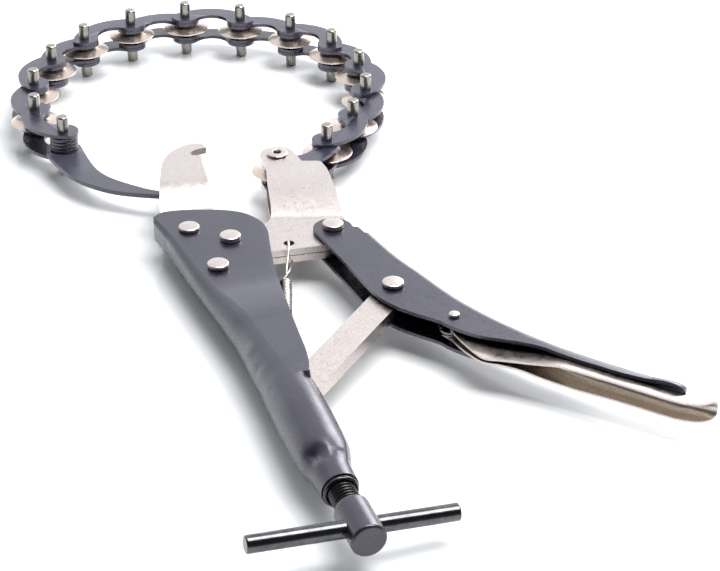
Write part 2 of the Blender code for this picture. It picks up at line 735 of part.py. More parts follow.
def end_nut():
    """The threaded collar on the handle's mouth."""
    bore = SCREW_RADIUS + RUNNING_GAP
    profile = [(bore, -0.3), (5.8, -0.3), (6.1, -0.8), (5.9, -1.6), (5.5, -1.9), (bore, -1.5), (bore, -0.3)]
    finished(along_screw(turned("end_nut", profile, 16)), "oxide")


def screw_tip():
    """The swivel pad on the screw's end, which the toggle link bears on."""
    profile = [(0, 43.4), (3.2, 43.4), (5.0, 42.6), (5.0, 40.3), (0, 40.3)]
    finished(along_screw(turned("screw_tip", profile, 14)), "steel")


# ---------------------------------------------------------------- springs
def jaw_spring():
    """The tension spring from the movable jaw to the handle, as its outer shape."""
    x, y = SPRING_HOLE
    points = [
        (x, y, -4.2),
        (x, y + 0.2, 0.0),
        (x, y, 3.6),
        (x - 0.4, y - 2.0, 3.9),
        (x - 1.4, y - 6.0, 3.4),
        (25.2, 141.0, 0.8),
        (23.2, 131.8, 0.0),
        (22.9, 130.6, 0.0),
        (22.6, 129.4, 0.0),
        (12.6, 97.6, 0.0),
        (12.3, 96.4, 0.0),
        (11.9, 95.2, 0.0),
        (8.6, 88.0, 0.0),
    ]
    thin, fat = 0.45 / 2.4, 1.0
    radii = [thin] * 6 + [thin, 0.75, fat, fat, 0.75, thin, thin]
    finished(tube_along("jaw_spring", points, 2.4, radii, 1), "nickel", JAW_PIVOT)


def release_spring():
    """The small torsion spring wound round the release rivet."""
    x, y = RELEASE_PIVOT
    points = [(x + 6.4, y - 8.4, 0.8)]
    steps, turns = 8, 2
    for i in range(steps * turns + 1):
        angle = math.radians(20 + 360 * i / steps)
        height = 0.8 - 1.6 * i / (steps * turns)
        points.append((x + 3.0 * math.cos(angle), y + 3.0 * math.sin(angle), height))
    points.append((x - 7.0, y + 10.0, -0.8))
    finished(tube_along("release_spring", points, 0.4, None, 1), "nickel", RELEASE_PIVOT)


# ---------------------------------------------------------------- whole tool
def stand_on_floor():
    """Set the frame's origin under the middle of the tool's bounding box."""
    bpy.context.view_layer.update()
    corners = [o.matrix_world @ v.co for o in PARTS.objects if o.type == "MESH" for v in o.data.vertices]
    low = [min(c[i] for c in corners) for i in range(3)]
    high = [max(c[i] for c in corners) for i in range(3)]
    FRAME.location = (-(low[0] + high[0]) / 2, -(low[1] + high[1]) / 2, -low[2])


clear_scene()
PARTS = new_collection(OBJECT_NAME)
FRAME = bpy.data.objects.new("tool_frame", None)
PARTS.objects.link(FRAME)
chain()
fixed_jaw()
movable_jaw()
fixed_handle()
lever_handle()
release_lever()
toggle_link()
rivets()
adjusting_screw()
tommy_bar()
end_nut()
screw_tip()
jaw_spring()
release_spring()
stand_on_floor()
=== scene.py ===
"""The looks of the locking-plier chain pipe cutter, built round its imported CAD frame.

Sizes and places are in millimetres in the tool's own frame: X and Z from the adjusting screw's
axis, Y from the handle's mouth, +Y towards the jaws. ORIGIN is where that frame sits in the
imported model, found from its nodes and joints.
"""
import json
import math

import bmesh
import bpy
from mathutils import Matrix, Vector


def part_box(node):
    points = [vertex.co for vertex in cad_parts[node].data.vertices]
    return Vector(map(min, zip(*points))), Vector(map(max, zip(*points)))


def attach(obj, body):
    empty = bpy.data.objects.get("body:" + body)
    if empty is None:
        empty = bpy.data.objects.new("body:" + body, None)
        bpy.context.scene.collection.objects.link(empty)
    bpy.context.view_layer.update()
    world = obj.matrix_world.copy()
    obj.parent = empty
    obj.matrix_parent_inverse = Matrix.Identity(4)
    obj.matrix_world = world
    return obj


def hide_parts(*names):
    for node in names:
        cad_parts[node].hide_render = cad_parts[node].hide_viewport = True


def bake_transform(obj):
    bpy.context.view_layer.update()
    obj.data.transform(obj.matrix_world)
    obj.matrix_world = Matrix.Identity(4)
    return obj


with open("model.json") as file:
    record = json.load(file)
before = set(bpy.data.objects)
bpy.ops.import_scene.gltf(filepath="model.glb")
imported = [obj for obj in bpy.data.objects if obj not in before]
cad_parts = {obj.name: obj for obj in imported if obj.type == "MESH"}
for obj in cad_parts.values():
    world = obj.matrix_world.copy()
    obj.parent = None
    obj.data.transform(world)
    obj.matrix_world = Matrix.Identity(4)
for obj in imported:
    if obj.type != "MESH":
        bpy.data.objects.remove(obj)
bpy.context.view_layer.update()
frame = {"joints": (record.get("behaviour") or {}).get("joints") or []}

MM = 0.001
JOINTS = {joint["name"]: joint for joint in frame["joints"]}
SCREW_PLACE = Vector(JOINTS["screw_turn"]["pos_m"])
MOUTH_GAP = 0.3
ORIGIN = Vector((SCREW_PLACE.x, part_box("end_nut")[1].y + MOUTH_GAP * MM, SCREW_PLACE.z))


def local(point):
    """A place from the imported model, in the tool's own frame."""
    return (Vector(point) - ORIGIN) / MM


def joint_place(name):
    return local(JOINTS[name]["pos_m"])


JAW_PIVOT = joint_place("jaw_pivot").to_2d()
LEVER_PIVOT = joint_place("lever_pivot").to_2d()
TOGGLE_PIVOT = joint_place("toggle_pivot").to_2d()
RELEASE_PIVOT = joint_place("release_pivot").to_2d()
LINK_COUNT = 14
PINS = [joint_place(f"chain_pin_{i + 1:02d}").to_2d() for i in range(LINK_COUNT)]
PINS.append(joint_place("claw_pivot").to_2d())


def node_centre(name):
    low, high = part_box(name)
    return local((low + high) / 2).to_2d()


FRONT_RIVET = node_centre("front_rivet")
REAR_RIVET = node_centre("rear_rivet")

# Chain
PITCH = (PINS[1] - PINS[0]).length
PIN_RADIUS = 2.5
PIN_HALF = 13.0
PLATE = 1.5
INNER_FACE = 2.9
OUTER_FACE = 4.55
LOBE_RADIUS = 6.5
LINK_BULGE = 10.6
LINK_WAIST = 2.2
WHEEL_RADIUS = 10.75  # a shade under the part's 11, to stay in the box of its 14-sided wheels

# Sheet metal
SHEET = 1.4
JAW_THICKNESS = 2.8
JAW_GAP = 0.15
FLANGE = 5.0
FIXED_RUN, FIXED_RISE, FIXED_BEND = 14.0, 6.15, 3.2
MOVABLE_RUN, MOVABLE_RISE, MOVABLE_BEND = 27.0, 4.55, 1.5
SPRING_HOLE = (32.0, 155.5)


# ---------------------------------------------------------------- meshes
def link_object(name, mesh):
    obj = bpy.data.objects.new(name, mesh)
    bpy.context.scene.collection.objects.link(obj)
    return obj


def applied(obj):
    """Replace an object by the mesh of its evaluated form."""
    bpy.context.view_layer.update()
    evaluated = obj.evaluated_get(bpy.context.evaluated_depsgraph_get())
    mesh = bpy.data.meshes.new_from_object(evaluated)
    mesh.transform(obj.matrix_world)
    name = obj.name
    bpy.data.objects.remove(obj, do_unlink=True)
    return link_object(name, mesh)


def tidy(obj, merge=0.004):
    edit = bmesh.new()
    edit.from_mesh(obj.data)
    bmesh.ops.remove_doubles(edit, verts=edit.verts, dist=merge)
    bmesh.ops.recalc_face_normals(edit, faces=edit.faces)
    edit.to_mesh(obj.data)
    edit.free()
    return obj


def bevelled(obj, width, segments=2, angle=40):
    """Round the sharp edges and smooth the rest."""
    bevel = obj.modifiers.new("edges", "BEVEL")
    bevel.width = width
    bevel.segments = segments
    bevel.limit_method = "ANGLE"
    bevel.angle_limit = math.radians(angle)
    bevel.use_clamp_overlap = True
    bevel.harden_normals = False
    obj = applied(obj)
    obj.data.shade_smooth()
    normals = obj.modifiers.new("normals", "WEIGHTED_NORMAL")
    normals.keep_sharp = False
    normals.weight = 80
    return applied(obj)


def prism(name, outlines, low, high):
    """A flat plate between two heights; outlines after the first are its holes."""
    curve = bpy.data.curves.new(name, "CURVE")
    curve.dimensions = "2D"
    curve.fill_mode = "BOTH"
    curve.extrude = (high - low) / 2
    for outline in outlines:
        spline = curve.splines.new("POLY")
        spline.points.add(len(outline) - 1)
        spline.use_cyclic_u = True
        for point, (x, y) in zip(spline.points, outline):
            point.co = (x, y, 0.0, 1.0)
    obj = link_object(name, curve)
    obj.location.z = (high + low) / 2
    return tidy(applied(obj))


def turned(name, profile, sides=48, sharp=50):
    """A body turned about Z from a (radius, height) profile that is closed or ends on the axis."""
    verts, faces = [], []
    for i in range(sides):
        angle = 2 * math.pi * i / sides
        verts += [(r * math.cos(angle), r * math.sin(angle), z) for r, z in profile]
    count = len(profile)
    for i in range(sides):
        for k in range(count - 1):
            a, b = i * count + k, ((i + 1) % sides) * count + k
            faces.append((a, b, b + 1, a + 1))
    mesh = bpy.data.meshes.new(name)
    mesh.from_pydata(verts, [], faces)
    obj = tidy(link_object(name, mesh), 0.0005)
    obj.data.shade_smooth()
    obj.data.set_sharp_from_angle(angle=math.radians(sharp))
    normals = obj.modifiers.new("normals", "WEIGHTED_NORMAL")
    normals.keep_sharp = True
    normals.weight = 80
    return applied(obj)


def rounded(points, radius, steps=4, closed=False):
    """A polyline whose corners are rounded by up to the given radius."""
    result = []
    count = len(points)
    for i, point in enumerate(points):
        here = Vector(point)
        if not closed and i in (0, count - 1):
            result.append(tuple(here))
            continue
        before, after = Vector(points[i - 1]), Vector(points[(i + 1) % count])
        start = here + (before - here) * min(radius / max((before - here).length, 1e-6), 0.48)
        end = here + (after - here) * min(radius / max((after - here).length, 1e-6), 0.48)
        for step in range(steps + 1):
            t = step / steps
            result.append(tuple(start * (1 - t) ** 2 + here * 2 * t * (1 - t) + end * t**2))
    return result


def arc(centre, radius, start, end, count):
    """Points round a centre from one angle to another, in degrees, both ends kept."""
    angles = [math.radians(start + (end - start) * i / count) for i in range(count + 1)]
    return [(centre[0] + radius * math.cos(a), centre[1] + radius * math.sin(a)) for a in angles]


def smooth(points, count):
    """A Catmull-Rom curve through tuples of any length, with count steps to each span."""
    result = []
    for i in range(len(points) - 1):
        before = points[max(i - 1, 0)]
        start, end = points[i], points[i + 1]
        after = points[min(i + 2, len(points) - 1)]
        for step in range(count):
            t = step / count
            result.append(
                tuple(
                    b + 0.5 * t * (c - a + t * (2 * a - 5 * b + 4 * c - d + t * (3 * (b - c) + d - a)))
                    for a, b, c, d in zip(before, start, end, after)
                )
            )
    return result + [tuple(points[-1])]


def wire(name, points, radius, sides=4):
    """A round wire through the points."""
    curve = bpy.data.curves.new(name, "CURVE")
    curve.dimensions = "3D"
    curve.bevel_depth = radius
    curve.bevel_resolution = sides
    curve.use_fill_caps = True
    spline = curve.splines.new("POLY")
    spline.points.add(len(points) - 1)
    for point, place in zip(spline.points, points):
        point.co = (*place, 1.0)
    obj = applied(link_object(name, curve))
    obj.data.shade_smooth()
    obj.data.set_sharp_from_angle(angle=math.radians(60))
    return obj


def joined(name, objects):
    """One object from several, keeping a material slot for each different material."""
    materials = []
    for obj in objects:
        for material in obj.data.materials:
            if material not in materials:
                materials.append(material)
    edit = bmesh.new()
    mesh = bpy.data.meshes.new(name)
    for obj in objects:
        remap = [materials.index(m) for m in obj.data.materials] or [0]
        start = len(edit.faces)
        edit.from_mesh(obj.data)
        edit.faces.ensure_lookup_table()
        for face in edit.faces[start:]:
            face.material_index = remap[min(face.material_index, len(remap) - 1)]
    edit.to_mesh(mesh)
    edit.free()
    for material in materials:
        mesh.materials.append(material)
    for obj in objects:
        bpy.data.objects.remove(obj, do_unlink=True)
    return link_object(name, mesh)


def coat(obj, *materials):
    obj.data.materials.clear()
    for material in materials:
        obj.data.materials.append(material)
    return obj


def shown(obj, body, nodes, place=(0.0, 0.0), turn=0.0):
    """Scale a piece to metres, set it in its place and hang it on its body for its CAD nodes."""
    obj.data.transform(Matrix.Diagonal((MM, MM, MM, 1.0)))
    return hung(obj, body, nodes, place, turn)


def hung(obj, body, nodes, place, turn):
    obj.location = ORIGIN + Vector((place[0], place[1], 0.0)) * MM
    obj.rotation_euler.z = math.radians(turn)
    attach(obj, body)
    if nodes:
        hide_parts(*nodes)
    return obj


# ---------------------------------------------------------------- materials
def new_material(name, colour, metallic, roughness):
    material = bpy.data.materials.new(name)
    material.use_nodes = True
    nodes = material.node_tree.nodes
    shader = nodes["Principled BSDF"]
    shader.inputs["Base Color"].default_value = (*colour, 1.0)
    shader.inputs["Metallic"].default_value = metallic
    shader.inputs["Roughness"].default_value = roughness
    return material, shader


def add_node(material, kind, **values):
    node = material.node_tree.nodes.new(kind)
    for key, value in values.items():
        setattr(node, key, value)
    return node


def wired(material, start, end):
    material.node_tree.links.new(start, end)


def noise(material, scale, detail=4.0, rough=0.6, stretch=None):
    """A noise texture on the piece's own coordinates, stretched if asked."""
    coordinates = add_node(material, "ShaderNodeTexCoord")
    source = coordinates.outputs["Object"]
    if stretch:
        mapping = add_node(material, "ShaderNodeMapping")
        mapping.inputs["Scale"].default_value = stretch
        wired(material, source, mapping.inputs["Vector"])
        source = mapping.outputs["Vector"]
    texture = add_node(material, "ShaderNodeTexNoise")
    texture.inputs["Scale"].default_value = scale
    texture.inputs["Detail"].default_value = detail
    texture.inputs["Roughness"].default_value = rough
    wired(material, source, texture.inputs["Vector"])
    return texture.outputs["Fac"]


def ramp(material, source, stops):
    """Map a value to colours through (position, colour) stops."""
    node = add_node(material, "ShaderNodeValToRGB")
    elements = node.color_ramp.elements
    while len(elements) < len(stops):
        elements.new(0.5)
    for element, (position, colour) in zip(elements, stops):
        element.position = position
        element.color = (*colour, 1.0)
    wired(material, source, node.inputs["Fac"])
    return node.outputs["Color"]


def spread(material, source, low, high):
    """Map a noise value's usual range to a range of values."""
    node = add_node(material, "ShaderNodeMapRange")
    node.inputs["From Min"].default_value = 0.3
    node.inputs["From Max"].default_value = 0.7
    node.inputs["To Min"].default_value = low
    node.inputs["To Max"].default_value = high
    wired(material, source, node.inputs["Value"])
    return node.outputs["Result"]


def bump(material, shader, height, strength, distance):
    node = add_node(material, "ShaderNodeBump")
    node.inputs["Strength"].default_value = strength
    node.inputs["Distance"].default_value = distance
    wired(material, height, node.inputs["Height"])
    wired(material, node.outputs["Normal"], shader.inputs["Normal"])


def roughened(material, shader, pattern, low, high):
    """Roughness that wanders between two values with the pattern."""
    wired(material, spread(material, pattern, low, high), shader.inputs["Roughness"])


def satin_black(name, dark, light, rough_low, rough_high, edge_highlight):
    """A dull black coating: mottled tone, faint orange peel and a painted highlight that lightens its sharp
    edges.
    """
    material, shader = new_material(name, dark, 0.0, rough_low)
    cloud = noise(material, 90.0, 5.0, 0.65)
    tone = ramp(material, cloud, [(0.35, dark), (0.7, light)])
    geometry = add_node(material, "ShaderNodeNewGeometry")
    # sharp convex edges are lightened: a painted edge highlight
    edge_highlight_mask = ramp(material, geometry.outputs["Pointiness"], [(0.52, (0, 0, 0)), (0.60, (1, 1, 1))])
    mix = add_node(material, "ShaderNodeMix", data_type="RGBA")
    wired(material, edge_highlight_mask, mix.inputs["Factor"])
    wired(material, tone, mix.inputs["A"])
    mix.inputs["B"].default_value = (*edge_highlight, 1.0)
    wired(material, mix.outputs["Result"], shader.inputs["Base Color"])
    roughened(material, shader, noise(material, 260.0, 3.0), rough_low, rough_high)
    shader.inputs["Specular IOR Level"].default_value = 1.0
    shader.inputs["Specular Tint"].default_value = (0.93, 0.90, 1.0, 1.0)
    bump(material, shader, noise(material, 1600.0, 3.0), 0.08, 0.0002)
    return material


def blued_steel(name, dark, light, rough_low, rough_high):
    """Polished steel turned nearly black: dark in itself, with sharp bright reflections."""
    material, shader = new_material(name, dark, 1.0, rough_low)
    tone = ramp(material, noise(material, 300.0, 4.0), [(0.35, dark), (0.65, light)])
    wired(material, tone, shader.inputs["Base Color"])
    roughened(material, shader, noise(material, 700.0), rough_low, rough_high)
    bump(material, shader, noise(material, 2600.0), 0.06, 0.0001)
    return material


def plated(name, dark, light, rough_low, rough_high, grain=3200.0, depth=0.25):
    """Bright plating over sheet with a fine speckled grain."""
    material, shader = new_material(name, light, 1.0, rough_low)
    speck = noise(material, grain, 3.0, 0.7)
    tone = ramp(material, speck, [(0.34, dark), (0.56, light)])
    wired(material, tone, shader.inputs["Base Color"])
    roughened(material, shader, noise(material, 420.0, 4.0), rough_low, rough_high)
    bump(material, shader, speck, depth, 0.0001)
    return material


def turned_metal(name, colours, rough_low, rough_high, rings):
    """Metal turned on a lathe about the piece's own Z axis: fine rings in tone and height."""
    material, shader = new_material(name, colours[1], 1.0, rough_low)
    coordinates = add_node(material, "ShaderNodeTexCoord")
    flat = add_node(material, "ShaderNodeVectorMath", operation="MULTIPLY")
    flat.inputs[1].default_value = (1.0, 1.0, 0.0)
    wired(material, coordinates.outputs["Object"], flat.inputs[0])
    radius = add_node(material, "ShaderNodeVectorMath", operation="LENGTH")
    wired(material, flat.outputs["Vector"], radius.inputs[0])
    texture = add_node(material, "ShaderNodeTexNoise", noise_dimensions="1D")
    texture.inputs["Scale"].default_value = rings
    texture.inputs["Detail"].default_value = 3.0
    wired(material, radius.outputs["Value"], texture.inputs["W"])
    tone = ramp(material, texture.outputs["Fac"], [(0.35, colours[0]), (0.65, colours[1])])
    wired(material, tone, shader.inputs["Base Color"])
    roughened(material, shader, noise(material, 500.0), rough_low, rough_high)
    bump(material, shader, texture.outputs["Fac"], 0.15, 0.0001)
    return material


# the last colour of each is the painted highlight on sharp edges
HANDLE = satin_black(
    "handle_black", (0.010, 0.009, 0.019), (0.018, 0.016, 0.032), 0.24, 0.33, (0.06, 0.056, 0.08)
)
CHAIN = satin_black(
    "chain_black", (0.013, 0.013, 0.027), (0.023, 0.023, 0.044), 0.24, 0.33, (0.10, 0.095, 0.125)
)
OXIDE = blued_steel("black_oxide", (0.085, 0.085, 0.090), (0.13, 0.13, 0.135), 0.12, 0.20)
THREAD = blued_steel("thread_black", (0.050, 0.050, 0.052), (0.085, 0.085, 0.088), 0.16, 0.26)
NICKEL = plated("nickel_plate", (0.38, 0.33, 0.31), (0.68, 0.61, 0.585), 0.25, 0.38)
# a lighter, warmer copy of the nickel plate for a channel's inner face: painted light bounced round inside it
NICKEL_PAINTED_LIGHT = plated("nickel_inside_painted_light", (0.40, 0.36, 0.31), (0.80, 0.72, 0.64), 0.28, 0.42)
WHEEL = turned_metal("wheel_steel", ((0.52, 0.42, 0.36), (0.76, 0.65, 0.58)), 0.24, 0.34, 4200.0)
PIN = turned_metal("pin_steel", ((0.26, 0.245, 0.22), (0.42, 0.40, 0.37)), 0.22, 0.34, 5200.0)
SPRING = plated("spring_steel", (0.34, 0.32, 0.29), (0.56, 0.53, 0.49), 0.22, 0.34)


# ---------------------------------------------------------------- chain
def link_outline():
    """A crescent plate from the first pin at the origin to the second along +X, bulging to -Y."""
    half = PITCH / 2
    span = half + LOBE_RADIUS
    outer = (span**2 + LINK_BULGE**2) / (2 * LINK_BULGE)
    sweep = math.degrees(math.asin(span / outer))
    drop = outer - LINK_BULGE
    back = ((LINK_WAIST + LOBE_RADIUS) ** 2 - half**2) / (-2 * (LINK_WAIST + LOBE_RADIUS))
    inner = back + LINK_WAIST
    tangent = math.degrees(math.atan2(back, half))
    points = arc((half, drop), outer, 270 - sweep, 270 + sweep, 30)
    points += arc((PITCH, 0), LOBE_RADIUS, 0, 180 - tangent, 16)[1:]
    points += arc((half, back), inner, 360 - tangent, 180 + tangent, 14)[1:-1]
    points += arc((0, 0), LOBE_RADIUS, tangent, 180, 16)[:-1]
    return points


def link_plates(face, hole):
    plates = []
    for sign in (1, -1):
        low, high = sorted((sign * face, sign * (face + PLATE)))
        holes = [arc((x, 0), hole, 0, 360, 32)[:-1] for x in (0, PITCH)]
        plates.append(bevelled(prism("plate", [link_outline()] + holes, low, high), 0.22))
        coat(plates[-1], CHAIN)
    return plates


def steel_pin(x):
    half, r = PIN_HALF, PIN_RADIUS
    side = [(0, half), (r - 0.55, half), (r, half - 0.55), (r, 0.55 - half), (r - 0.55, -half), (0, -half)]
    pin = turned("pin", rounded(side, 0.25, 3), 40)
    pin.data.transform(Matrix.Translation((x, 0, 0)))
    return coat(pin, PIN)


def ring(inner, outer, low, high, edge=0.25, material=None):
    """A flat ring with rounded edges."""
    side = rounded([(inner, low), (outer, low), (outer, high), (inner, high)], edge, 3, True)
    return coat(turned("ring", side + side[:1], 48), material or CHAIN)


def bush_ring(x, sign):
    """The riveted end of a bush, just proud of its inner plate."""
    low, high = sorted((sign * (INNER_FACE - 0.2), sign * (INNER_FACE + PLATE + 0.06)))
    bush = ring(PIN_RADIUS + 0.3, PIN_RADIUS + 1.3, low, high, 0.15)
    bush.data.transform(Matrix.Translation((x, 0, 0)))
    return bush


def pin_link():
    parts = link_plates(OUTER_FACE, PIN_RADIUS - 0.05) + [steel_pin(0), steel_pin(PITCH)]
    return joined("pin_link", parts)


def bush_link():
    bushes = []
    for x in (0, PITCH):
        sleeve = ring(PIN_RADIUS + 0.3, PIN_RADIUS + 1.3, -INNER_FACE, INNER_FACE, 0.1)
        sleeve.data.transform(Matrix.Translation((x, 0, 0)))
        bushes += [sleeve, bush_ring(x, 1), bush_ring(x, -1)]
    return joined("bush_link", link_plates(INNER_FACE, PIN_RADIUS + 1.2) + bushes)


def cutting_wheel():
    """A hub with a hollow-ground disc that runs out to a sharp edge."""
    bore = PIN_RADIUS + 1.6
    half = [(bore, 2.4), (bore + 0.2, 2.6), (5.0, 2.6), (5.3, 2.45), (5.5, 1.9), (6.2, 1.42), (7.4, 0.98)]
    half += [(8.7, 0.62), (9.9, 0.34), (10.5, 0.14), (WHEEL_RADIUS, 0.0)]
    side = half + [(r, -z) for r, z in reversed(half[:-1])]
    return coat(turned("cutting_wheel", side + side[:1], 72), WHEEL)


def headings():
    steps = zip(PINS, PINS[1:])
    return [math.degrees(math.atan2((b - a).y, (b - a).x)) for a, b in steps]


def chain():
    forms = {"bush_link": bush_link(), "pin_link": pin_link(), "wheel": cutting_wheel()}
    for form in forms.values():
        form.data.transform(Matrix.Diagonal((MM, MM, MM, 1.0)))
    for i, heading in enumerate(headings()):
        kind = ("bush_link", "pin_link")[i % 2]
        number = f"{i + 1:02d}"
        link = link_object(f"{kind}_{number}_look", forms[kind].data)
        hung(link, f"link_{number}", [f"{kind}_{number}"], PINS[i], heading)
        wheel = link_object(f"wheel_{number}_look", forms["wheel"].data)
        hung(wheel, f"wheel_{number}", [f"cutting_wheel_{number}"], PINS[i], heading)
    for form in forms.values():
        bpy.data.objects.remove(form, do_unlink=True)


def tail():
    """The feeding claw on the last pin and the stack of washers that holds it down."""
    x, y = PINS[-1]
    low, high = (local(corner).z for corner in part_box("feed_claw"))
    inner = smooth([(x + 6.9, y + 1.5), (-21.6, 249.3), (-9.1, 230.5), (3.0, 220.2)], 12)
    outer = smooth([(4.5, 218.4), (-3.8, 221.5), (-21.5, 232.3), (-34.0, 250.5), (x - 8.3, y - 2.0)], 10)
    crown = smooth([(x - 8.3, y - 2.0), (x - 5.6, y + 6.0), (x + 1.6, y + 8.0), (x + 6.9, y + 1.5)], 8)
    outline = [(px - x, py - y) for px, py in inner + outer + crown[1:-1]]
    hole = arc((0, 0), PIN_RADIUS + 0.3, 0, 360, 32)[:-1]
    claw = coat(bevelled(prism("feed_claw_look", [outline, hole], low, high), 0.25), CHAIN)
    shown(claw, "feed_claw", ["feed_claw"], (x, y))
    for i in range(1, 5):
        low, high = (local(corner).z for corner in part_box(f"tail_washer_{i}"))
        washer = ring(PIN_RADIUS + 0.3, LOBE_RADIUS - 0.5, low, high, 0.45)
        washer.name = f"tail_washer_{i}_look"
        shown(washer, "feed_claw", [f"tail_washer_{i}"], (x, y))


# ---------------------------------------------------------------- jaws
def bent_plate(name, outline, holes, start, bearing, rise, marks, side):
    """A flat plate whose inner face rises by rise(s), s being how far it is past its rear bend."""
    flat = prism(name, [outline] + holes, 0.0, 1.0)
    edit = bmesh.new()
    edit.from_mesh(flat.data)
    unwanted = [f for f in edit.faces if f.normal.z < 0.5]
    bmesh.ops.delete(edit, geom=unwanted, context="FACES")
    direction = Vector((math.cos(math.radians(bearing)), math.sin(math.radians(bearing)), 0.0))
    base = Vector((*start, 0.0))
    for mark in marks:
        geom = edit.verts[:] + edit.edges[:] + edit.faces[:]
        bmesh.ops.bisect_plane(edit, geom=geom, plane_co=base + direction * mark, plane_no=direction)
    for vert in edit.verts:
        vert.co.z = JAW_GAP + rise((vert.co - base).dot(direction))
    bmesh.ops.recalc_face_normals(edit, faces=edit.faces)
    if sum(f.normal.z for f in edit.faces) < 0:
        bmesh.ops.reverse_faces(edit, faces=edit.faces)
    edit.to_mesh(flat.data)
    edit.free()
    solid = flat.modifiers.new("sheet", "SOLIDIFY")
    solid.thickness = JAW_THICKNESS
    solid.offset = 1.0
    solid.use_even_offset = True
    flat = applied(flat)
    if side < 0:
        flat.data.transform(Matrix.Diagonal((1.0, 1.0, -1.0, 1.0)))
        tidy(flat)
    return coat(bevelled(flat, 0.35, 3, 50), NICKEL)


def eased(s, bend):
    """The integral of a slope that turns on smoothly over a bend."""
    if s <= -bend:
        return 0.0
    if s >= bend:
        return s
    return (s + bend) ** 2 / (4 * bend)


def fixed_jaw_rise(s):
    """Two bends: a straight slope to the outer flat."""
    slope = FIXED_RISE / FIXED_RUN
    return slope * (eased(s, FIXED_BEND) - eased(s - FIXED_RUN, FIXED_BEND))


def movable_jaw_rise(s):
    """A tight rear bend, then a slope that eases off into the outer flat."""
    run = min(max(eased(s, MOVABLE_BEND), 0.0), MOVABLE_RUN)
    return 2 * MOVABLE_RISE * run / MOVABLE_RUN * (1 - run / (2 * MOVABLE_RUN))


def bend_marks(centre, bend, count):
    return [centre - bend + 2 * bend * i / count for i in range(count + 1)]


def fixed_jaw():
    left = smooth([(-5.0, 137.2), (-7.6, 150), (-9.2, 168), (-10.4, 184.5), (-8.9, 197.3), (-4.4, 213.5)], 8)
    crown = smooth([(-4.4, 213.5), (0.8, 228.5), (7.8, 236.8), (16.0, 240.0), (20.6, 238.0)], 8)
    slot = [(20.8, 234.6), (16.2, 233.9), (13.6, 232.6), (12.9, 230.6), (14.2, 228.9), (17.3, 228.4)]
    slot = rounded(slot, 1.2, 4)
    right = [(17.3, 228.4), (16.1, 224.2), (14.3, 210.1), (12.2, 195.1), (9.8, 182.3), (5.2, 175.5)]
    right = smooth(right, 5)
    hollow = arc(JAW_PIVOT, 9.4, 122, 245, 14)
    heel = arc(REAR_RIVET, 6.6, 15, -120, 14)
    outline = left[:-1] + crown[:-1] + slot + right[1:] + hollow + heel
    holes = [arc(place, 2.8, 0, 360, 32)[:-1] for place in (FRONT_RIVET, REAR_RIVET)]
    for side, end in ((1, "upper"), (-1, "lower")):
        marks = bend_marks(0.0, FIXED_BEND, 8) + bend_marks(FIXED_RUN, FIXED_BEND, 8)
        name = f"fixed_jaw_{end}_look"
        jaw = bent_plate(name, outline, holes, (0.0, 193.4), 82.0, fixed_jaw_rise, marks, side)
        shown(jaw, "fixed_handle", [f"fixed_jaw_{end}"])


def movable_jaw():
    anchor = node_centre("chain_anchor_rivet")
    hub = arc(JAW_PIVOT, 8.0, 270, 100, 20)
    left = [(16.0, 171.5), (24.5, 172.2), (30.2, 176.0), (33.5, 184.0), (37.0, 199.7), (40.6, 214.0)]
    left = smooth(left, 6)
    nose = arc(anchor, 7.2, 180, 15, 18)
    right = rounded([(55.7, 212.6), (63.0, 210.2), (63.4, 203.0), (61.4, 186.1), (59.0, 168.0)], 1.5, 4)
    lobe = arc(LEVER_PIVOT, 7.6, 20, -70, 12)
    rear = [(46.2, 149.3), (24.6, 151.3)]
    outline = hub + left + nose + right + lobe + rear
    holes = [arc(place, 2.8, 0, 360, 32)[:-1] for place in (JAW_PIVOT, LEVER_PIVOT, anchor)]
    holes.append(arc(SPRING_HOLE, 2.1, 0, 360, 28)[:-1])
    for side, end in ((1, "upper"), (-1, "lower")):
        marks = bend_marks(0.0, MOVABLE_BEND, 6)
        marks += [MOVABLE_BEND + (MOVABLE_RUN - MOVABLE_BEND) * i / 12 for i in range(1, 13)]
        name = f"movable_jaw_{end}_look"
        jaw = bent_plate(name, outline, holes, (36.0, 176.5), 73.0, movable_jaw_rise, marks, side)
        shown(jaw, "movable_jaw", [f"movable_jaw_{end}"])


# ---------------------------------------------------------------- sheet channels
FLAT, BACK, WALL = 10, 12, 9
SEAM = 43.0


def spaced(path, start, end, count):
    """Points spaced evenly along part of a polyline, both ends kept."""
    path = [Vector(p) for p in path]
    lengths = [0.0]
    for a, b in zip(path, path[1:]):
        lengths.append(lengths[-1] + (b - a).length)
    result = []
    k = 0
    for i in range(count + 1):
        want = start + (end - start) * i / count
        while k < len(path) - 2 and lengths[k + 1] < want:
            k += 1
        step = lengths[k + 1] - lengths[k]
        share = (want - lengths[k]) / step if step > 1e-9 else 0.0
        result.append(tuple(path[k].lerp(path[k + 1], min(max(share, 0.0), 1.0))))
    return result


def path_length(path):
    return sum((Vector(b) - Vector(a)).length for a, b in zip(path, path[1:]))


